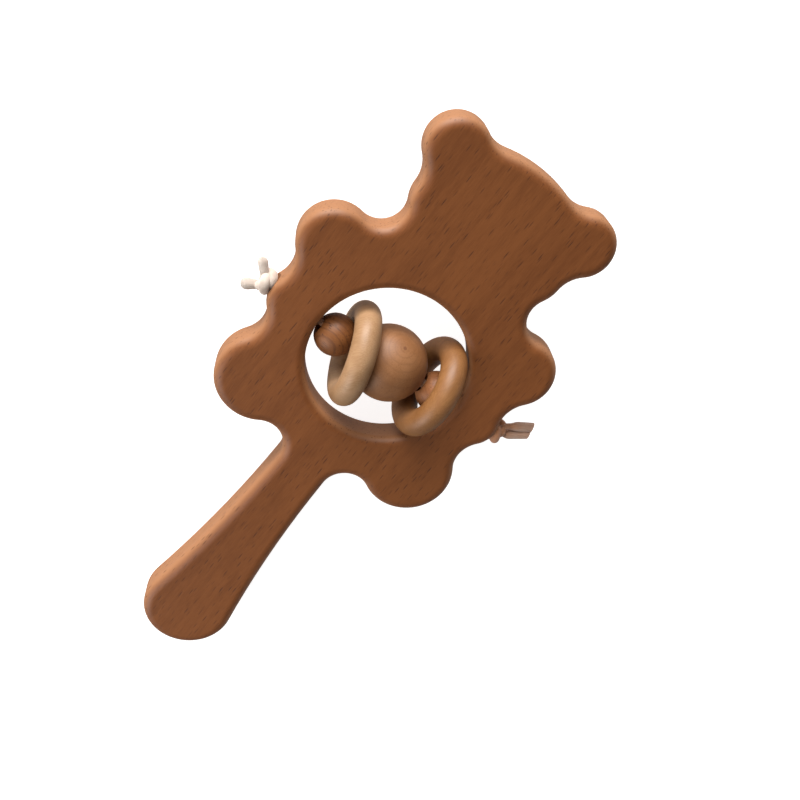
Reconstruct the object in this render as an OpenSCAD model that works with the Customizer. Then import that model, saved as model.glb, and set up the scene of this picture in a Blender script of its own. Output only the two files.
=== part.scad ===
// Baby rattle: a flat wooden bear with a paddle handle and a round window, which a doubled cord crosses.
// Three drilled beads are threaded on the cord and two turned rings hang round it.
// The origin is the centre of the window, at mid-thickness: +Y points to the head, +Z out of the face,
// and the cord runs along X. All sizes are in millimetres.

/* [Board] */
// Thickness of the board
board_t = 9; // [8:0.5:12]
// Radius of the rounded-over outer edge
edge_r = 2.4; // [1.5:0.1:3.5]
// Radius of the window through the belly
window_r = 18; // [18:0.1:18.6]
// Radius of the rounded rims of the window
rim_r = 2; // [1:0.1:3.5]

/* [Head] */
// Height of the centre of the arc over the crown
crown_y = 20.5; // [20:0.5:21]
// Radius of the arc over the crown
crown_r = 32.4; // [32:0.1:33]
// Place of the ear's centre, across and up
ear_at = [17, 46.1];
// Radius of the ear
ear_r = 7.1; // [6.6:0.1:7.6]
// Place of the cheek's centre, across and up
cheek_at = [11, 35.5];
// Radius of the cheek
cheek_r = 8.2; // [7.8:0.1:8.6]

/* [Body and limbs] */
// Place of the arm's centre, across and up
arm_at = [25.3, 15.5];
// Radius of the arm
arm_r = 8.2; // [7.8:0.1:8.6]
// Place of the centre of the flank's swelling, where the cord comes out
flank_at = [24.5, 0];
// Radius of the flank's swelling
flank_r = 6.1; // [5.8:0.1:6.4]
// Place of the leg's centre, across and up
leg_at = [20.3, -18.8];
// Radius of the leg
leg_r = 10.5; // [10.2:0.1:10.8]

/* [Handle] */
// Height of the lowest point of the handle's end
handle_bottom = -91.8; // [-95:0.1:-90]
// Radius of the handle's round end
handle_end_r = 10.8; // [10:0.1:11.5]
// Half of the handle's width at its narrowest
handle_neck = 6.4; // [6:0.1:7]
// Radius of the handle's long hollow sides
handle_side_r = 300; // [250:10:350]

/* [Beads, rings and cord] */
// Radius of the big bead
big_bead_r = 8.7; // [8.3:0.1:8.7]
// Radius of the two small beads
small_bead_r = 4.8; // [4.4:0.1:4.8]
// Radius of the hole through every bead, and of the cord holes through the board
bore_r = 2; // [1.95:0.01:2.05]
// Radius of a ring, from its centre to the middle of its round section
ring_r = 9; // [8.9:0.05:9]
// Radius of the ring's round section
ring_section_r = 3; // [2.8:0.05:3]
// Diameter of one strand of the cord
strand_d = 1.5; // [1.3:0.1:1.5]

/* [Hidden] */
$fn = 64;

// Radii of the hollows that blend one swelling of the outline into the next, from the head down
crown_blend_r = 7;
ear_blend_r = 7;
neck_blend_r = 5.5;
armpit_blend_r = 7.3;
waist_blend_r = 6.7;
crotch_blend_r = 5.6;

// How far a chord of the outline may stray from its arc
chord_sag = 0.025;
// Facets across each rounded-over edge and rim, and how far from mid-thickness the edge's rounding begins
edge_facets = 5;
edge_z = board_t / 2 - edge_r;
// Sides of the drilled holes in the board
hole_sides = 32;
// How far a cutter runs past the face that it cuts
past = 1;

// Where the drilled holes open into the window they are countersunk for the end beads, and where they
// open in the flanks the knots sit in them: [radius at the surface, depth]
bead_seat = [3.5, 1.5];
knot_seat = [3.2, 1.2];
flank_x = flank_at.x + flank_r;

// Centres of the beads. Each hangs off the middle of the cord by the play in its own hole.
big_bead_at = [0.85, -0.3, 0.3];
small_bead_left_at = [-12.65, -1.75, 0.1];
small_bead_right_at = [14.1, 0, 0];

// Centres of the rings, and the way each ring's axis points: degrees round from +X, degrees up
ring_left_at = [-6.95, -2.65, 0.95];
ring_left_axis = [16.7, -3.1];
ring_right_at = [11.3, 0.7, 1.35];
ring_right_axis = [2.4, -8.8];

// Middles of the knots, which are round lumps wound at knot_r from their middle with a section of
// knot_section_r
knot_left_at = [-31.8, -0.1, 0.8];
knot_right_at = [31.8, 0, -0.3];
knot_r = 1.5;
knot_section_r = 1.55;

// The two strands lie one above the other through the holes, strand_z off the middle, and part as
// tails beyond the knots. Each route runs from the tip of its left tail to the tip of its right one.
strand_z = 0.77;
strand_sides = 8;
upper_left_tail = [[-35.5, 3.8, 0.2], [-33.6, 1.7, 0.6], [-32.1, 0.3, 0.7]];
upper_right_tail = [[32.2, 2.1, 0.5], [34.7, 3.8, 0.2], [38.3, 5.9, 0]];
lower_left_tail = [[-36, -3.7, 0.2], [-34.1, -2.9, -0.2], [-32.1, -1.7, -0.6]];
lower_right_tail = [[34, 0.5, -0.5], [36.2, 2.1, -0.2], [38.9, 4.2, 0]];
crossing = [[-31, 0], [-28, -0.2], [-24, -0.6], [-18, -0.9], [-12.5, -0.95], [-6, -0.7],
            [0, -0.4], [7, -0.1], [14, 0], [19, 0], [23, 0], [27, 0], [31, 0]];

// ---- the outline of the board ----

// An arc is [centre, radius]. The radius is positive where the board is inside the arc and negative
// where the arc hollows the outline.

function left_of(v) = [-v.y, v.x];

// Centre of the arc of signed radius r that touches arcs a and b, on the given side of the line
// from a to b
function blend_centre(a, b, r, side) =
    let (
        apart = norm(b[0] - a[0]),
        u = (b[0] - a[0]) / apart,
        reach_a = abs(a[1] - r),
        reach_b = abs(b[1] - r),
        along = (reach_a ^ 2 - reach_b ^ 2 + apart ^ 2) / (2 * apart)
    )
    a[0] + along * u + side * sqrt(reach_a ^ 2 - along ^ 2) * left_of(u);

function blend(a, b, r, side = 1) = [blend_centre(a, b, -r, side), -r];

// Point at which two touching arcs meet
function meeting(a, b) = (a[1] * b[0] - b[1] * a[0]) / (a[1] - b[1]);

crown = [[0, crown_y], crown_r];
ear = [ear_at, ear_r];
cheek = [cheek_at, cheek_r];
arm = [arm_at, arm_r];
flank = [flank_at, flank_r];
leg = [leg_at, leg_r];
handle_end = [[0, handle_bottom + handle_end_r], handle_end_r];
handle_side_x = handle_neck + handle_side_r;
handle_side_up = sqrt((handle_side_r + handle_end_r) ^ 2 - handle_side_x ^ 2);
handle_side = [[handle_side_x, handle_end[0].y + handle_side_up], -handle_side_r];

right_half = [
    crown,
    blend(crown, ear, crown_blend_r),
    ear,
    blend(ear, cheek, ear_blend_r),
    cheek,
    blend(cheek, arm, neck_blend_r),
    arm,
    blend(arm, flank, armpit_blend_r),
    flank,
    blend(flank, leg, waist_blend_r),
    leg,
    blend(leg, handle_side, crotch_blend_r, -1),
    handle_side,
    handle_end
];

// The same arcs when the whole outline is drawn in by a distance
function drawn_in(arcs, by) = [for (a = arcs) [a[0], a[1] - by]];

function heading(v) = atan2(v.y, v.x);
function wrap(angle) = angle - 360 * floor(angle / 360);

// How many chords an arc that turns by an angle needs, wherever across the rounded edge it lies
function chords(turn, r) = ceil(abs(turn) / (2 * acos(1 - chord_sag / (abs(r) + edge_r))));

// Points along an arc from one end to the other, the last one left out
function arc_points(a, from, to, r) =
    let (
        start = heading(from - a[0]),
        turn = a[1] > 0 ? -wrap(start - heading(to - a[0])) : wrap(heading(to - a[0]) - start),
        count = chords(turn, r)
    )
    [for (i = [0 : count - 1]) a[0] + abs(a[1]) * [cos(start + turn * i / count), sin(start + turn * i / count)]];

// Points of the right half of the outline drawn in by a distance, from the crown to the handle's end
function half_points(by) =
    let (
        arcs = drawn_in(right_half, by),
        last = len(arcs) - 1,
        top = [0, arcs[0][0].y + arcs[0][1]],
        bottom = [0, arcs[last][0].y - arcs[last][1]],
        ends = [top, for (i = [0 : last - 1]) meeting(arcs[i], arcs[i + 1]), bottom]
    )
    [for (i = [0 : last]) each arc_points(arcs[i], ends[i], ends[i + 1], right_half[i][1]), bottom];

// The whole outline drawn in by a distance, as a closed loop of points at height z
function outline(by, z) =
    let (right = half_points(by))
    [
        for (p = right) [p.x, p.y, z],
        for (i = [len(right) - 2 : -1 : 1]) [-right[i].x, right[i].y, z]
    ];

// Solid through a row of closed loops that all have the same number of points
module loft(loops) {
    n = len(loops[0]);
    last = len(loops) - 1;
    walls = [for (i = [0 : last - 1], k = [0 : n - 1])
        [i * n + k, i * n + (k + 1) % n, (i + 1) * n + (k + 1) % n, (i + 1) * n + k]];
    first_cap = [for (k = [n - 1 : -1 : 0]) k];
    last_cap = [for (k = [0 : n - 1]) last * n + k];
    polyhedron([for (l = loops) each l], concat(walls, [first_cap, last_cap]));
}

// ---- the board ----

// The solid that leaves the window when it is cut away, with a rounded rim on each face
module window_cutter() {
    rim_z = board_t / 2 - rim_r;
    rotate_extrude()
        difference() {
            translate([0, -board_t / 2 - past])
                square([window_r + rim_r, board_t + 2 * past]);
            translate([window_r, -rim_z])
                square([rim_r + past, 2 * rim_z]);
            for (side = [-1, 1])
                translate([window_r + rim_r, side * rim_z])
                    circle(rim_r, $fn = 4 * edge_facets);
        }
}

// One cord hole, from the window out through the flank at +X, with a seat at each mouth
module cord_hole() {
    $fn = hole_sides;
    rotate([0, 90, 0]) {
        translate([0, 0, window_r - past])
            cylinder(h = flank_x - window_r + 2 * past, r = bore_r);
        translate([0, 0, window_r - past])
            cylinder(h = bead_seat[1] + past, r1 = bead_seat[0] + past, r2 = bore_r);
        translate([0, 0, flank_x - knot_seat[1]])
            cylinder(h = knot_seat[1] + past, r1 = bore_r, r2 = knot_seat[0] + past);
    }
}

// The bear's outline through the thickness of the board, with both its edges rounded over
module rounded_board() {
    tilts = [for (i = [0 : edge_facets]) 90 * i / edge_facets];
    back_edge = [for (t = tilts) outline(edge_r * (1 - sin(t)), -edge_z - edge_r * cos(t))];
    face_edge = [for (t = tilts) outline(edge_r * (1 - cos(t)), edge_z + edge_r * sin(t))];
    loft(concat(back_edge, face_edge));
}

module board() {
    color([0.56, 0.34, 0.22])
        difference() {
            rounded_board();
            window_cutter();
            for (side = [0, 1])
                mirror([side, 0, 0])
                    cord_hole();
        }
}

// ---- beads and rings ----

module bead(at, r) {
    translate(at)
        rotate([0, 90, 0])
            difference() {
                sphere(r);
                cylinder(h = 2 * (r + past), r = bore_r, center = true);
            }
}

module big_bead() {
    color([0.62, 0.40, 0.26]) bead(big_bead_at, big_bead_r);
}

module small_bead_left() {
    color([0.60, 0.37, 0.23]) bead(small_bead_left_at, small_bead_r);
}

module small_bead_right() {
    color([0.60, 0.37, 0.23]) bead(small_bead_right_at, small_bead_r);
}

module ring(at, axis) {
    translate(at)
        rotate([0, 90 - axis.y, axis.x])
            rotate_extrude()
                translate([ring_r, 0])
                    circle(ring_section_r);
}

module ring_left() {
    color([0.80, 0.62, 0.44]) ring(ring_left_at, ring_left_axis);
}

module ring_right() {
    color([0.76, 0.56, 0.36]) ring(ring_right_at, ring_right_axis);
}

// ---- the cord ----

function crossing_at(z) = [for (p = crossing) [p.x, p.y, z]];

function direction(v) = v / norm(v);

// The way the route runs at its point i
function run(route, i) = direction(route[min(i + 1, len(route) - 1)] - route[max(i - 1, 0)]);

// One ring of the tube's corners, square across the route at its point i
function tube_ring(route, i) =
    let (
        along = run(route, i),
        up = direction(cross(along, [0, 1, 0])),
        side = cross(up, along)
    )
    [for (k = [0 : strand_sides - 1])
        route[i] + strand_d / 2 * (cos(360 * k / strand_sides) * side + sin(360 * k / strand_sides) * up)];

module tube(route) {
    loft([for (i = [0 : len(route) - 1]) tube_ring(route, i)]);
}

module cord_upper() {
    color([0.88, 0.82, 0.75]) tube(concat(upper_left_tail, crossing_at(strand_z), upper_right_tail));
}

module cord_lower() {
    color([0.88, 0.82, 0.75]) tube(concat(lower_left_tail, crossing_at(-strand_z), lower_right_tail));
}

module knot(at) {
    translate(at)
        rotate([0, 90, 0])
            rotate_extrude()
                intersection() {
                    translate([knot_r, 0])
                        circle(knot_section_r);
                    translate([0, -knot_section_r])
                        square([knot_r + knot_section_r, 2 * knot_section_r]);
                }
}

module knot_left() {
    color([0.92, 0.87, 0.80]) knot(knot_left_at);
}

module knot_right() {
    color([0.70, 0.58, 0.48]) knot(knot_right_at);
}

board();
big_bead();
small_bead_left();
small_bead_right();
ring_left();
ring_right();
cord_upper();
cord_lower();
knot_left();
knot_right();
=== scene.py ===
import math

import bmesh
import bpy
from mathutils import Matrix, Vector
from mathutils.geometry import interpolate_bezier


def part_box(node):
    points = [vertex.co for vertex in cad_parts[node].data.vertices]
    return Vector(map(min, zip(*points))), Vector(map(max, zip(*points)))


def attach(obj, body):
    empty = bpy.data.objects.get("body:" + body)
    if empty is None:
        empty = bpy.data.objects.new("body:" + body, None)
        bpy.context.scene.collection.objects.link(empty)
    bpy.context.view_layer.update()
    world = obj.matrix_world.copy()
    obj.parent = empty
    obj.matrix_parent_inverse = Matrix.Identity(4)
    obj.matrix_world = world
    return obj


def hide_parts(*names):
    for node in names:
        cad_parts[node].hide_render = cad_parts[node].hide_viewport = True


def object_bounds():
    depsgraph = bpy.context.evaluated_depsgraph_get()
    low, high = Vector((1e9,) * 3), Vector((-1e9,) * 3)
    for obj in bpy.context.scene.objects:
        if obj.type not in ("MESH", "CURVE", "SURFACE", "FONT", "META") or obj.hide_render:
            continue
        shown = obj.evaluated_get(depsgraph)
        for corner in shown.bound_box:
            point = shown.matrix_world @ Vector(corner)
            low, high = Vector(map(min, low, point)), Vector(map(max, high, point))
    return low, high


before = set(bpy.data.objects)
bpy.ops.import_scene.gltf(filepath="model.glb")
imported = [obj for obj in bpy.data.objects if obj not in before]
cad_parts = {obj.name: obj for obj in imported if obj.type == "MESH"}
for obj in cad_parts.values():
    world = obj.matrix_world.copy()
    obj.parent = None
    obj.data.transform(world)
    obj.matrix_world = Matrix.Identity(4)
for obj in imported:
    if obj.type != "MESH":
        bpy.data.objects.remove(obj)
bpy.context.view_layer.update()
scene = bpy.context.scene
mm = 0.001
weld_distance = 0.001 * mm
sharp_corner = math.radians(35)

# ---- Camera ----
# Looks down on the face of the bear from above the arm on the left, turned so that the bear leans
# over with its head to the upper right and its handle to the lower left.

towards_viewer = Vector((-0.32584, 0.33825, 0.88285))
picture_up = Vector((-0.51542, 0.71928, -0.46581))
camera_place = (-0.06903, 0.0743, 0.21064)
camera_data = bpy.data.cameras.new("camera")
camera_data.lens = 47.4
camera_data.sensor_width = 36
camera_data.clip_start = 0.01
camera = bpy.data.objects.new("camera", camera_data)
camera_turn = Matrix((picture_up.cross(towards_viewer), picture_up, towards_viewer)).transposed()
camera.matrix_world = Matrix.Translation(camera_place) @ camera_turn.to_4x4()
scene.collection.objects.link(camera)
scene.camera = camera

# ---- Cord strands ----
# Two strands of braided cotton cord run side by side through the flanks, beads and rings. On the left
# each one's end is sealed in a bulb, on the right both fray wider and are cut on a slant. Their routes
# are in millimetres, and tip_shares adds the points that round off a sealed tip.

strand_radius = 0.75 * mm
strand_height = 0.77
crossing_steps = [
    (-31, 0), (-28, -0.2), (-24, -0.6), (-18, -0.9), (-12.5, -0.95), (-6, -0.7),
    (0, -0.4), (7, -0.1), (14, 0), (19, 0), (23, 0), (27, 0), (31, 0),
]
strand_tails = {
    "cord_upper": (
        [(-35.5, 3.8, 0.2), (-33.6, 1.7, 0.6), (-32.1, 0.3, 0.7)],
        [(32.2, 2.1, 0.5), (34.7, 3.8, 0.2), (38.3, 5.9, 0)],
    ),
    "cord_lower": (
        [(-36, -3.7, 0.2), (-34.1, -2.9, -0.2), (-32.1, -1.7, -0.6)],
        [(34, 0.5, -0.5), (36.2, 2.1, -0.2), (38.9, 4.2, 0)],
    ),
}
strand_sides = {"cord_upper": 1, "cord_lower": -1}
bulb_swelling = {"cord_upper": 1.5, "cord_lower": 1.75}
tail_swelling = {"cord_upper": 1.4, "cord_lower": 1.5}
frayed_swelling = 0.5
fray_start = 33.5 * mm
fray_length = 1.5 * mm
tip_shares = (0, 0.06, 0.15, 0.3, 0.5, 0.75)
slant_place = Vector((38.3, 4.8, 0)) * mm
slant_way = Vector((0.97, 0.24, 0.1)).normalized()
slant_corner = math.radians(50)


class Surface:
    """A shader socket. Arithmetic on it adds Math nodes to its material."""

    def __init__(self, tree, socket=None):
        self.tree = tree
        self.socket = socket

    def node(self, kind, settings=None, inputs=None, output=0):
        """Adds a node with its settings and the values or links of its sockets."""
        made = self.tree.nodes.new(kind)
        for name, value in (settings or {}).items():
            setattr(made, name, value)
        for name, value in (inputs or {}).items():
            if isinstance(value, Surface):
                self.tree.links.new(value.socket, made.inputs[name])
            else:
                made.inputs[name].default_value = value
        return Surface(self.tree, made.outputs[output])

    def math(self, operation, first, second=0.0):
        return self.node("ShaderNodeMath", {"operation": operation}, {0: first, 1: second})

    def __add__(self, other):
        return self.math("ADD", self, other)

    def __sub__(self, other):
        return self.math("SUBTRACT", self, other)

    def __mul__(self, other):
        return self.math("MULTIPLY", self, other)

    def __radd__(self, other):
        return self.math("ADD", other, self)

    def __rsub__(self, other):
        return self.math("SUBTRACT", other, self)

    def __rmul__(self, other):
        return self.math("MULTIPLY", other, self)

    def sine(self):
        return self.math("SINE", self)

    def root(self):
        return self.math("SQRT", self)

    def between(self, low, high):
        """0 where the value is at low, 1 where it is at high, and smooth from one to the other."""
        return self.node(
            "ShaderNodeMapRange",
            {"interpolation_type": "SMOOTHSTEP"},
            {"Value": self, "From Min": low, "From Max": high},
        )

    def blend(self, first, second):
        """The first colour where the value is 0 and the second where it is 1."""
        return self.node(
            "ShaderNodeMix", {"data_type": "RGBA"}, {0: self, 6: first, 7: second}, output=2
        )

    def cells(self, place, turn, size):
        """Coordinates that count cells of a size, from a place and turned by angles in degrees."""
        return self.node(
            "ShaderNodeMapping",
            {"vector_type": "TEXTURE"},
            {
                "Vector": self,
                "Location": place,
                "Rotation": [math.radians(angle) for angle in turn],
                "Scale": size,
            },
        )

    def noise(self, detail, roughness=0.5):
        return self.node(
            "ShaderNodeTexNoise",
            {},
            {"Vector": self, "Scale": 1.0, "Detail": detail, "Roughness": roughness},
        )


def finished(colour, roughness, height, bump_depth, gloss, sheen=0.0):
    """Ends a material: its colour, roughness and height feed one Principled shader. Gloss and sheen are
    the same all over."""
    tree = colour.tree
    shader = tree.nodes["Principled BSDF"]
    bump = colour.node(
        "ShaderNodeBump", {}, {"Height": height, "Strength": 1.0, "Distance": bump_depth}
    )
    tree.links.new(colour.socket, shader.inputs["Base Color"])
    tree.links.new(roughness.socket, shader.inputs["Roughness"])
    tree.links.new(bump.socket, shader.inputs["Normal"])
    shader.inputs["Specular IOR Level"].default_value = gloss
    shader.inputs["Sheen Weight"].default_value = sheen
    shader.inputs["Sheen Roughness"].default_value = 0.5


def new_material(name):
    material = bpy.data.materials.new(name)
    material.use_nodes = True
    return material, Surface(material.node_tree)


def braided_cotton(name, length):
    """Unbleached cotton: the threads of the braid cross on two slants round the strand. Brown shade is
    painted on it from the left knot rightwards and eased off towards the tips on the right. The loose
    ends on the left are left clean."""
    threads_round = 6
    braid_pitch = 2.4 * mm
    # The brown below is painted shade laid over the cotton, not a stain that the cord has.
    shade_start, shade_full = -30 * mm, -28 * mm
    shade_ease_start, shade_ease_full = 33 * mm, 36 * mm
    shade_ease_strength = 0.3
    cotton_pale = (0.56, 0.47, 0.4, 1)
    cotton_dark = (0.27, 0.19, 0.145, 1)
    painted_shade_brown = (0.36, 0.155, 0.07, 1)
    material, start = new_material(name)
    uv = start.node("ShaderNodeTexCoord", output=2)
    place = start.node("ShaderNodeTexCoord", output=3)
    round_strand = start.node("ShaderNodeSeparateXYZ", {}, {0: uv}, output=0)
    along_strand = start.node("ShaderNodeSeparateXYZ", {}, {0: uv}, output=1)
    across = start.node("ShaderNodeSeparateXYZ", {}, {0: place}, output=0)
    turns = along_strand * (2 * math.pi * length / braid_pitch)
    threads = round_strand * (math.pi * threads_round)
    weave = (threads + turns * 2).sine() * (threads - turns * 2).sine()
    fuzz = place.cells((0, 0, 0), (0, 0, 0), (0.12 * mm,) * 3).noise(3)
    cloud = place.cells((0, 0, 0), (0, 0, 0), (1.6 * mm,) * 3).noise(2)
    thread_tops = (weave * 0.5 + 0.5) * 0.6 + fuzz * 0.4
    clean = (thread_tops * 0.6 + cloud * 0.6).between(0.15, 0.75).blend(cotton_dark, cotton_pale)
    shade_eased = shade_ease_strength * across.between(shade_ease_start, shade_ease_full)
    # Painted shade: from the left knot rightwards the cotton is darkened to brown, less at the frayed
    # tips on the right.
    painted_shade = across.between(shade_start, shade_full) * (0.75 + 0.4 * cloud - shade_eased)
    shaded_cotton = painted_shade.blend(clean, painted_shade_brown)
    finished(shaded_cotton, 0.78 + 0.15 * fuzz, thread_tops, 0.09 * mm, gloss=0.3, sheen=0.25)
    return material


def smooth_run(points, steps=8):
    """Points along a smooth line through the given ones."""
    ahead = [points[0]] + points + [points[-1]]
    run = []
    for before, here, there, after in zip(ahead, ahead[1:], ahead[2:], ahead[3:]):
        leaving = here + (there - before) / 6
        arriving = there - (after - here) / 6
        run += interpolate_bezier(here, leaving, arriving, there, steps)[:-1]
    return run + [points[-1]]


def cord_tube(name, run, swellings, radius, closed=False):
    """A tube of cord along a run of points, as a mesh with its length along V."""
    curve = bpy.data.curves.new(name, "CURVE")
    curve.dimensions = "3D"
    curve.bevel_depth = radius
    curve.bevel_resolution = 6
    curve.use_fill_caps = not closed
    spline = curve.splines.new("POLY")
    spline.points.add(len(run) - 1)
    spline.use_cyclic_u = closed
    spline.use_smooth = True
    for point, place, swelling in zip(spline.points, run, swellings):
        point.co = (*place, 1)
        point.radius = swelling
    drawn = bpy.data.objects.new(name + "_line", curve)
    scene.collection.objects.link(drawn)
    seen = drawn.evaluated_get(bpy.context.evaluated_depsgraph_get())
    mesh = bpy.data.meshes.new_from_object(seen)
    bpy.data.objects.remove(drawn)
    mesh.name = name
    piece = bpy.data.objects.new(name, mesh)
    scene.collection.objects.link(piece)
    return piece


def run_length(run):
    return sum((b - a).length for a, b in zip(run, run[1:]))


def eased(share):
    share = min(max(share, 0), 1)
    return share * share * (3 - 2 * share)


def sealed_end(distance, bulb, tail):
    """How wide the cord is at a distance from its sealed tip, as a share of its usual width. Behind
    the rounded bulb the tail has fluffed out, and it is drawn in again at the knot."""
    bulb_length = 2.8 * mm
    tail_length = 5 * mm
    tip_length = strand_radius * bulb
    round_tip = math.sqrt(max(0.0, 1 - (1 - min(distance / tip_length, 1)) ** 2))
    behind_bulb = bulb + (tail - bulb) * eased((distance - tip_length) / (bulb_length - tip_length))
    width = behind_bulb + (1 - tail) * eased((distance - bulb_length) / (tail_length - bulb_length))
    return max(0.02, round_tip * width)


def cut_on_slant(strand):
    """Cuts the loose end on the right along a slanted plane that runs across both strands."""
    bm = bmesh.new()
    bm.from_mesh(strand.data)
    bmesh.ops.remove_doubles(bm, verts=bm.verts, dist=weld_distance)
    cut = bmesh.ops.bisect_plane(
        bm,
        geom=bm.verts[:] + bm.edges[:] + bm.faces[:],
        plane_co=slant_place,
        plane_no=slant_way,
        clear_outer=True,
    )["geom_cut"]
    bmesh.ops.holes_fill(bm, edges=[item for item in cut if isinstance(item, bmesh.types.BMEdge)])
    bmesh.ops.recalc_face_normals(bm, faces=bm.faces)
    bm.to_mesh(strand.data)
    bm.free()
    strand.data.shade_smooth()
    strand.data.set_sharp_from_angle(angle=slant_corner)


for name, (left_tail, right_tail) in strand_tails.items():
    height = strand_sides[name] * strand_height
    crossing = [(x, y, height) for x, y in crossing_steps]
    route = [Vector(point) * mm for point in left_tail + crossing + right_tail]
    run = smooth_run(route)
    run = [run[0].lerp(run[1], share) for share in tip_shares] + run[1:]
    swellings = []
    distance = 0.0
    for i, point in enumerate(run):
        distance += (point - run[i - 1]).length if i else 0.0
        past_knot = eased((point.x - fray_start) / fray_length)
        sealed = sealed_end(distance, bulb_swelling[name], tail_swelling[name])
        swellings.append(sealed + frayed_swelling * past_knot)
    strand = cord_tube(name + "_cotton", run, swellings, strand_radius)
    cut_on_slant(strand)
    strand.data.materials.append(braided_cotton(name + "_braid", run_length(run)))
    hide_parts(name)
    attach(strand, "board")

# ---- Knots ----
# Both strands are tied together in an overhand knot outside each flank, drawn up tight against the
# mouth of the cord hole, which keeps the cord from pulling through.

knot_winding = 1.35 * mm
knot_waist = 0.65 * mm
knot_cord_radius = 1.12 * mm
winding_steps = 120
knot_turn = {"knot_left": -10, "knot_right": 105}


def overhand_winding(middle, turned):
    """Points round a three-lobed winding about the line of the cord."""
    run = []
    for i in range(winding_steps):
        angle = 2 * math.pi * i / winding_steps
        out = knot_winding + knot_waist * math.cos(3 * angle)
        round_cord = 2 * angle + math.radians(turned)
        run.append(
            middle
            + Vector(
                (
                    knot_waist * math.sin(3 * angle),
                    out * math.cos(round_cord),
                    out * math.sin(round_cord),
                )
            )
        )
    return run


for name, turned in knot_turn.items():
    low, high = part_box(name)
    run = overhand_winding((low + high) / 2, turned)
    knot = cord_tube(name + "_cotton", run, [1.0] * len(run), knot_cord_radius, closed=True)
    knot.data.materials.append(braided_cotton(name + "_braid", run_length(run)))
    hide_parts(name)
    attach(knot, "board")

# ---- Board ----
# A flat bear with a paddle handle, sawn from one piece of beech with the grain along the handle. Both
# edges are rounded over, a round window is bored with rounded rims, and a hole for the cord is drilled
# through each flank, countersunk at both mouths.

board_thickness = 9 * mm
edge_radius = 2.4 * mm
edge_steps = 10
face_band = 0.2 * mm
chord_sag = 0.012 * mm
window_radius = 18 * mm
window_rim = 2 * mm
window_steps = 160
drill_facets = 48
handle_bottom = -91.8 * mm
handle_end_radius = 10.8 * mm
handle_neck = 6.4 * mm
handle_side_radius = 300 * mm
cord_hole_radius = 2 * mm
flank_middle = 24.5 * mm
flank_radius = 6.1 * mm
bead_seat = (3.5 * mm, 1.5 * mm)
knot_seat = (3.2 * mm, 1.2 * mm)


class Arc:
    """One arc of the bear's outline. A hollow arc has the board outside it."""

    def __init__(self, x, y, radius, hollow=False):
        self.centre = Vector((x, y))
        self.radius = -radius if hollow else radius

    def blend(self, other, radius, side=1):
        """The hollow that touches this arc and another, on one side of the line between them."""
        between = other.centre - self.centre
        reach = abs(self.radius + radius)
        other_reach = abs(other.radius + radius)
        along = (reach**2 - other_reach**2 + between.length**2) / (2 * between.length)
        aside = side * math.sqrt(reach**2 - along**2)
        unit = between.normalized()
        middle = self.centre + along * unit + aside * Vector((-unit.y, unit.x))
        return Arc(*middle, radius, hollow=True)

    def meets(self, other):
        """The point at which this arc touches the next."""
        difference = self.radius - other.radius
        return (self.radius * other.centre - other.radius * self.centre) / difference

    def turn(self, start, end):
        """The angle round the arc from one of its points to another, clockwise where it swells."""
        start_angle = math.atan2(*reversed(start - self.centre))
        end_angle = math.atan2(*reversed(end - self.centre))
        if self.radius > 0:
            return -((start_angle - end_angle) % math.tau)
        return (end_angle - start_angle) % math.tau

    def chords(self, turn):
        widest = abs(self.radius) + edge_radius
        return math.ceil(abs(turn) / (2 * math.acos(1 - chord_sag / widest)))


def bear_half():
    """The arcs of the right half of the outline, from the crown to the end of the handle."""
    crown = Arc(0, 20.5 * mm, 32.4 * mm)
    ear = Arc(17 * mm, 46.1 * mm, 7.1 * mm)
    cheek = Arc(11 * mm, 35.5 * mm, 8.2 * mm)
    arm = Arc(25.3 * mm, 15.5 * mm, 8.2 * mm)
    flank = Arc(flank_middle, 0, flank_radius)
    leg = Arc(20.3 * mm, -18.8 * mm, 10.5 * mm)
    end = Arc(0, handle_bottom + handle_end_radius, handle_end_radius)
    side_x = handle_neck + handle_side_radius
    side_up = math.sqrt((handle_side_radius + handle_end_radius) ** 2 - side_x**2)
    side = Arc(side_x, end.centre.y + side_up, handle_side_radius, hollow=True)
    return [
        crown,
        crown.blend(ear, 7 * mm),
        ear,
        ear.blend(cheek, 7 * mm),
        cheek,
        cheek.blend(arm, 5.5 * mm),
        arm,
        arm.blend(flank, 7.3 * mm),
        flank,
        flank.blend(leg, 6.7 * mm),
        leg,
        leg.blend(side, 5.6 * mm, side=-1),
        side,
        end,
    ]


def run_on(bm, end, step):
    """Carries a line on from the vertex at its end by a straight step."""
    moved = bmesh.ops.extrude_vert_indiv(bm, verts=[end])["verts"]
    bmesh.ops.translate(bm, verts=moved, vec=step)
    return moved[0]


def bend_on(bm, end, centre, axis, degrees, steps):
    """Carries a line on from the vertex at its end round an arc."""
    spun = bmesh.ops.spin(
        bm, geom=[end], cent=centre, axis=axis, angle=math.radians(degrees), steps=steps
    )
    return [item for item in spun["geom_last"] if isinstance(item, bmesh.types.BMVert)][0]


def rounded_wall(bm, corner, outward, radius):
    """The profile of a wall of the board, from its back face round to its front face. It lies on the
    line from corner, where the rounding begins on the back face, outward."""
    axis = outward.cross(Vector((0, 0, 1)))
    before = set(bm.verts)
    end = bm.verts.new(corner - outward * face_band)
    end = run_on(bm, end, outward * face_band)
    back_centre = corner + Vector((0, 0, radius))
    end = bend_on(bm, end, back_centre, axis, 90, edge_steps)
    end = run_on(bm, end, Vector((0, 0, board_thickness - 2 * radius)))
    front_centre = corner + Vector((0, 0, board_thickness - radius))
    end = bend_on(bm, end, front_centre, axis, 90, edge_steps)
    run_on(bm, end, -outward * face_band)
    verts = [vert for vert in bm.verts if vert not in before]
    return verts + list({edge for vert in verts for edge in vert.link_edges})


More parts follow.
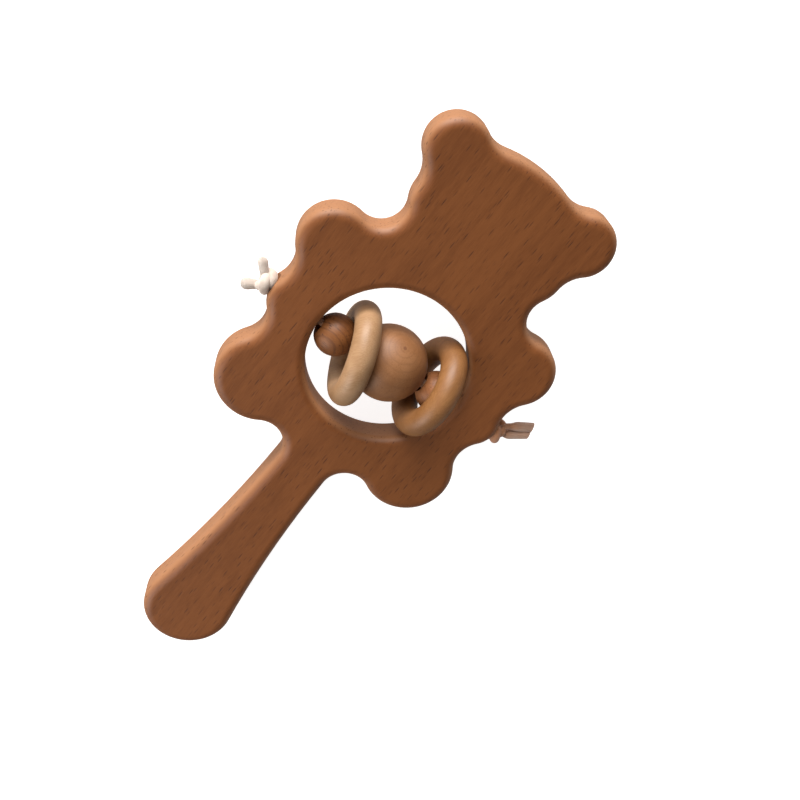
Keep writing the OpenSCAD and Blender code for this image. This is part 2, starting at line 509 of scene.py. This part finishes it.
def mesh_piece(name, bm):
    """An object for a finished mesh, smooth but for its sharp corners."""
    bmesh.ops.remove_doubles(bm, verts=bm.verts, dist=weld_distance)
    bmesh.ops.recalc_face_normals(bm, faces=bm.faces)
    mesh = bpy.data.meshes.new(name)
    bm.to_mesh(mesh)
    bm.free()
    mesh.shade_smooth()
    mesh.set_sharp_from_angle(angle=sharp_corner)
    piece = bpy.data.objects.new(name, mesh)
    scene.collection.objects.link(piece)
    return piece


def bear_blank():
    """The rounded bear with its window, before the cord holes are drilled."""
    bm = bmesh.new()
    arcs = bear_half()
    top = arcs[0].centre + Vector((0, arcs[0].radius))
    bottom = arcs[-1].centre - Vector((0, arcs[-1].radius))
    joins = [top] + [a.meets(b) for a, b in zip(arcs, arcs[1:])] + [bottom]
    back_z = -board_thickness / 2
    profile = rounded_wall(
        bm, Vector((0, top.y - edge_radius, back_z)), Vector((0, 1, 0)), edge_radius
    )
    for arc, start, end in zip(arcs, joins, joins[1:]):
        turn = arc.turn(start, end)
        profile = bmesh.ops.spin(
            bm,
            geom=profile,
            cent=(*arc.centre, 0),
            axis=(0, 0, 1),
            angle=turn,
            steps=arc.chords(turn),
        )["geom_last"]
    bmesh.ops.mirror(bm, geom=bm.verts[:] + bm.edges[:] + bm.faces[:], axis="X", merge_dist=0.01 * mm)
    rim = rounded_wall(
        bm, Vector((window_radius + window_rim, 0, back_z)), Vector((-1, 0, 0)), window_rim
    )
    bmesh.ops.spin(
        bm, geom=rim, cent=(0, 0, 0), axis=(0, 0, 1), angle=math.tau, steps=window_steps, use_merge=True
    )
    bmesh.ops.remove_doubles(bm, verts=bm.verts, dist=weld_distance)
    for side in (-1, 1):
        face_rims = [e for e in bm.edges if e.is_boundary and side * e.verts[0].co.z > 0]
        bmesh.ops.triangle_fill(
            bm, use_beauty=True, use_dissolve=False, edges=face_rims, normal=(0, 0, side)
        )
    return mesh_piece("board_beech", bm)


def cord_drill():
    """The shape of both drilled cord holes, which is cut out of the blank."""
    past = 1 * mm
    flank_x = flank_middle + flank_radius
    seat_radius, seat_depth = bead_seat
    mouth_radius, mouth_depth = knot_seat
    bm = bmesh.new()
    end = bm.verts.new((window_radius - past, 0, 0))
    end = run_on(bm, end, (0, 0, seat_radius + past))
    end = run_on(bm, end, (seat_depth + past, 0, cord_hole_radius - seat_radius - past))
    reach = flank_x - mouth_depth - end.co.x
    end = run_on(bm, end, (reach, 0, 0))
    end = run_on(bm, end, (mouth_depth + past, 0, mouth_radius + past - cord_hole_radius))
    run_on(bm, end, (0, 0, -mouth_radius - past))
    bmesh.ops.spin(
        bm,
        geom=bm.verts[:] + bm.edges[:],
        cent=(0, 0, 0),
        axis=(1, 0, 0),
        angle=math.tau,
        steps=drill_facets,
        use_merge=True,
    )
    bmesh.ops.mirror(bm, geom=bm.verts[:] + bm.edges[:] + bm.faces[:], axis="X", merge_dist=0)
    return mesh_piece("cord_drill", bm)


def drilled(blank, drill):
    """Cuts the drill's shape out of the blank."""
    cut = blank.modifiers.new("drill", "BOOLEAN")
    cut.operation = "DIFFERENCE"
    cut.solver = "EXACT"
    cut.object = drill
    seen = blank.evaluated_get(bpy.context.evaluated_depsgraph_get())
    mesh = bpy.data.meshes.new_from_object(seen)
    blank.modifiers.clear()
    blank.data = mesh
    bpy.data.objects.remove(drill)
    mesh.shade_smooth()
    mesh.set_sharp_from_angle(angle=sharp_corner)


def fleck_mask(start, wood, place, turn):
    """The rays of the wood: short thin dashes along the fibres, some fainter than others."""
    cells = wood.cells(place, turn, (0.55 * mm, 4.4 * mm, 0.55 * mm))
    spots = {"Vector": cells, "Scale": 1.0, "Randomness": 1.0}
    away = start.node("ShaderNodeTexVoronoi", {}, spots, output=0)
    which = start.node("ShaderNodeTexVoronoi", {}, spots, output=1)
    strength = start.node("ShaderNodeSeparateColor", {}, {0: which}, output=0)
    return (1 - away.between(0.12, 0.3)) * (0.25 + 0.75 * strength)


def beech(name, pale, dark, fleck, edge_highlight, place, turn):
    """Oiled beech with the grain along the cells' Y axis: soft streaks, fine pores and the short dark
    flecks of its rays. The walls and rounded edges are painted paler than the faces, as a painted
    highlight."""
    material, start = new_material(name)
    wood = start.node("ShaderNodeTexCoord", output=3)
    cloud = wood.cells(place, turn, (9 * mm, 30 * mm, 9 * mm)).noise(2)
    streak = wood.cells(place, turn, (1.3 * mm, 26 * mm, 1.3 * mm)).noise(4, 0.6)
    pore = wood.cells(place, turn, (0.16 * mm, 2.6 * mm, 0.16 * mm)).noise(2)
    wander = wood.cells(place, turn, (2 * mm, 5 * mm, 2 * mm)).noise(1)
    ray = fleck_mask(start, wood, place, turn)
    tone = (cloud * 0.35 + streak * 0.35 + pore * 0.3 + wander * 0.1).between(0.38, 0.7)
    plain = tone.blend(dark, pale)
    facing = start.node("ShaderNodeTexCoord", output=1)
    upward = start.node("ShaderNodeSeparateXYZ", {}, {0: facing}, output=2)
    # Painted highlight: where the surface turns from the faces to the walls and roundings, the colour
    # goes over to the paler edge colour.
    edge = 1 - (upward * upward).between(0.1, 0.92)
    edge_highlighted = edge.blend(plain, edge_highlight)
    colour = (ray * 0.75).blend(edge_highlighted, fleck)
    height = pore * 0.35 + streak * 0.2 - ray * 0.5
    finished(colour, 0.4 + 0.16 * pore + 0.1 * ray, height, 0.03 * mm, gloss=0.3)
    return material


board = bear_blank()
drilled(board, cord_drill())
board.data.materials.append(
    beech(
        "board_beech_oiled",
        pale=(0.178, 0.057, 0.014, 1),
        dark=(0.127, 0.038, 0.0085, 1),
        fleck=(0.045, 0.013, 0.0035, 1),
        # The painted highlight colour of the walls and rounded edges.
        edge_highlight=(0.28, 0.125, 0.055, 1),
        place=(0, 0, 0),
        turn=(0, 0, 0),
    )
)
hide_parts("board")
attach(board, "board")

# ---- Beads ----
# One big ball of beech between two small ones, each turned, drilled through and slid on the cord. The
# mouths of the holes are just broken with sandpaper.

bead_mouth = 0.3 * mm
bead_facets = 96


def turned_bead(name, radius):
    """A drilled ball with its hole along X and small rounded mouths."""
    low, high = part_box(name)
    middle = (low + high) / 2
    half_hole = math.sqrt(radius**2 - (cord_hole_radius + bead_mouth) ** 2)
    mouth_angle = math.degrees(math.asin((cord_hole_radius + bead_mouth) / radius))
    bm = bmesh.new()
    end = bm.verts.new((-half_hole + bead_mouth * 1.2, 0, cord_hole_radius))
    first = end
    end = run_on(bm, end, (-bead_mouth * 0.75, 0, bead_mouth * 0.25))
    end = run_on(bm, end, (-half_hole - end.co.x, 0, cord_hole_radius + bead_mouth - end.co.z))
    end = bend_on(bm, end, (0, 0, 0), (0, 1, 0), 180 - 2 * mouth_angle, bead_facets // 2)
    end = run_on(bm, end, (-bead_mouth * 0.45, 0, -bead_mouth * 0.75))
    end = run_on(bm, end, (-bead_mouth * 0.75, 0, -bead_mouth * 0.25))
    run_on(bm, end, (first.co.x - end.co.x, 0, 0))
    bmesh.ops.spin(
        bm,
        geom=bm.verts[:] + bm.edges[:],
        cent=(0, 0, 0),
        axis=(1, 0, 0),
        angle=math.tau,
        steps=bead_facets,
        use_merge=True,
    )
    bmesh.ops.translate(bm, verts=bm.verts, vec=middle)
    return mesh_piece(name + "_beech", bm), middle


def fibres_along(grain):
    """The turn, in degrees, that lays the cells' Y axis along the grain."""
    return [math.degrees(angle) for angle in Vector(grain).to_track_quat("Y", "Z").to_euler()]


def turned_wood(name, pale, dark, line, place, grain, pith, year, line_strength, fleck_strength, polish):
    """Wood turned on a lathe, with its fibres along the grain. Each year of growth shows as a thin
    darker line round the pith, which is a dark dot where it comes out of the piece, and the rays show
    as short flecks along the fibres."""
    material, start = new_material(name)
    turn = fibres_along(grain)
    wood = start.node("ShaderNodeTexCoord", output=3)
    bend = wood.cells(place, turn, (4 * mm, 14 * mm, 4 * mm)).noise(2)
    fibre = wood.cells(place, turn, (0.2 * mm, 3.5 * mm, 0.2 * mm)).noise(3)
    cloud = wood.cells(place, turn, (5 * mm, 12 * mm, 5 * mm)).noise(2)
    from_middle = wood.cells(place, turn, (mm, mm, mm))
    across = start.node("ShaderNodeSeparateXYZ", {}, {0: from_middle}, output=0) - pith[0]
    through = start.node("ShaderNodeSeparateXYZ", {}, {0: from_middle}, output=2) - pith[1]
    from_pith = (across * across + through * through).root()
    wave = ((from_pith * (1 / year) + bend * 0.9 + fibre * 0.12) * math.tau).sine()
    line_mask = wave.between(0.5, 1.0) * (0.3 + cloud)
    flecks = fleck_mask(start, wood, place, turn)
    tone = (cloud * 0.55 + fibre * 0.45).between(0.32, 0.68)
    plain = tone.blend(dark, pale)
    lined = (line_mask * line_strength).blend(plain, line)
    hearted = from_pith.between(0.25, 0.6).blend(line, lined)
    colour = (flecks * fleck_strength).blend(hearted, line)
    finished(colour, polish + 0.16 * fibre, fibre * 0.5 - flecks * 0.4, 0.03 * mm, gloss=0.35)
    return material


bead_looks = {
    "big_bead": dict(
        pale=(0.26, 0.117, 0.047, 1), dark=(0.195, 0.079, 0.027, 1), line=(0.14, 0.054, 0.02, 1),
        grain=(-0.112, 0.771, 0.626), pith=(0, 0), year=1.3, line_strength=0.3, fleck_strength=0.5,
    ),
    "small_bead_left": dict(
        pale=(0.195, 0.069, 0.018, 1), dark=(0.14, 0.046, 0.011, 1), line=(0.04, 0.012, 0.004, 1),
        grain=(0.94, 0.01, 0.34), pith=(40, 60), year=1.2, line_strength=0.45, fleck_strength=1.0,
    ),
    "small_bead_right": dict(
        pale=(0.3, 0.115, 0.04, 1), dark=(0.22, 0.08, 0.026, 1), line=(0.08, 0.026, 0.009, 1),
        grain=(0.9, 0.3, -0.3), pith=(-40, 30), year=1.6, line_strength=0.25, fleck_strength=0.7,
    ),
}
bead_radii = {"big_bead": 8.7 * mm, "small_bead_left": 4.8 * mm, "small_bead_right": 4.8 * mm}
for name, looks in bead_looks.items():
    bead, middle = turned_bead(name, bead_radii[name])
    bead.data.materials.append(turned_wood(name + "_turned", place=middle, polish=0.42, **looks))
    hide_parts(name)
    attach(bead, name)

# ---- Rings ----
# Two rings turned from pale maple with a round section. Each hangs loose round the cord, one on
# either side of the big bead.

ring_radius = 9 * mm
ring_section = 3 * mm
ring_facets = 144
section_facets = 40


def turned_ring(name, heading, rise):
    """A ring round an axis that points along X, turned by the heading and raised by the rise."""
    low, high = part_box(name)
    middle = (low + high) / 2
    bm = bmesh.new()
    section = bmesh.ops.create_circle(bm, segments=section_facets, radius=ring_section)["verts"]
    bmesh.ops.translate(bm, verts=section, vec=(0, ring_radius, 0))
    bmesh.ops.spin(
        bm,
        geom=bm.verts[:] + bm.edges[:],
        cent=(0, 0, 0),
        axis=(1, 0, 0),
        angle=math.tau,
        steps=ring_facets,
        use_merge=True,
    )
    turned = Matrix.Rotation(math.radians(heading), 4, "Z") @ Matrix.Rotation(-math.radians(rise), 4, "Y")
    bmesh.ops.transform(bm, matrix=Matrix.Translation(middle) @ turned, verts=bm.verts)
    return mesh_piece(name + "_maple", bm), middle


ring_looks = {
    "ring_left": dict(
        pale=(0.35, 0.205, 0.105, 1), dark=(0.245, 0.132, 0.06, 1), line=(0.3, 0.155, 0.08, 1),
        grain=(0.5, 0.8, 0.3), pith=(10, 16), year=2.2, line_strength=0.25, fleck_strength=0.25,
    ),
    "ring_right": dict(
        pale=(0.24, 0.108, 0.037, 1), dark=(0.16, 0.064, 0.018, 1), line=(0.19, 0.075, 0.026, 1),
        grain=(0.2, 0.9, -0.4), pith=(8, -14), year=1.8, line_strength=0.3, fleck_strength=0.3,
    ),
}
ring_tilts = {"ring_left": (16.7, -3.1), "ring_right": (2.4, -8.8)}
for name, looks in ring_looks.items():
    ring, middle = turned_ring(name, *ring_tilts[name])
    ring.data.materials.append(turned_wood(name + "_turned", place=middle, polish=0.36, **looks))
    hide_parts(name)
    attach(ring, name)

# ---- Floor and light ----
# A plain pale floor under the rattle as it lies, on its rings and on the end of its handle. It is kept
# out of reflections, where its glow would grey the wood. A broad soft light stands low beyond the
# arm on the left, a weaker one above it, and the weakest hangs beyond the end of the handle.

floor_reach = 1.5
shown_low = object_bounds()[0]
handle_rest = Vector((0, handle_bottom + handle_end_radius, -board_thickness / 2))
ring_rest = Vector((0, 0, shown_low.z))
lean = math.atan2(ring_rest.z - handle_rest.z, ring_rest.y - handle_rest.y)
floor_bm = bmesh.new()
bmesh.ops.create_grid(floor_bm, x_segments=1, y_segments=1, size=floor_reach)
floor_turn = Matrix.Translation(ring_rest) @ Matrix.Rotation(lean, 4, "X")
bmesh.ops.transform(floor_bm, matrix=floor_turn, verts=floor_bm.verts)
floor = mesh_piece("floor", floor_bm)
floor_material = new_material("floor_paper")[0]
paper = floor_material.node_tree.nodes["Principled BSDF"]
paper.inputs["Base Color"].default_value = (0.62, 0.62, 0.62, 1)
paper.inputs["Roughness"].default_value = 0.9
paper.inputs["Emission Color"].default_value = (1, 1, 1, 1)
paper.inputs["Emission Strength"].default_value = 0.85
floor.data.materials.append(floor_material)
floor.visible_glossy = False


def soft_light(name, place, size, power, tint):
    """A softbox, of a width and a height, that faces the middle of the window."""
    data = bpy.data.lights.new(name, "AREA")
    data.shape = "RECTANGLE"
    data.size, data.size_y = size
    data.energy = power
    data.color = tint
    light = bpy.data.objects.new(name, data)
    facing = Vector(place).to_track_quat("Z", "Y").to_matrix().to_4x4()
    light.matrix_world = Matrix.Translation(place) @ facing
    scene.collection.objects.link(light)


soft_light("window_light", (-0.68, 0.7, 0.17), (0.9, 0.26), 16.0, (1, 0.99, 0.98))
soft_light("raised_light", (-0.51, 0.61, 0.49), (0.5, 0.5), 6.0, (1, 1, 1))
soft_light("handle_light", (-0.2, -0.36, 0.26), (0.35, 0.35), 1.9, (1, 1, 1))
world = bpy.data.worlds.new("studio")
world.use_nodes = True
world.node_tree.nodes["Background"].inputs["Color"].default_value = (1, 1, 1, 1)
world.node_tree.nodes["Background"].inputs["Strength"].default_value = 0.24
scene.world = world
scene.view_settings.view_transform = "Standard"
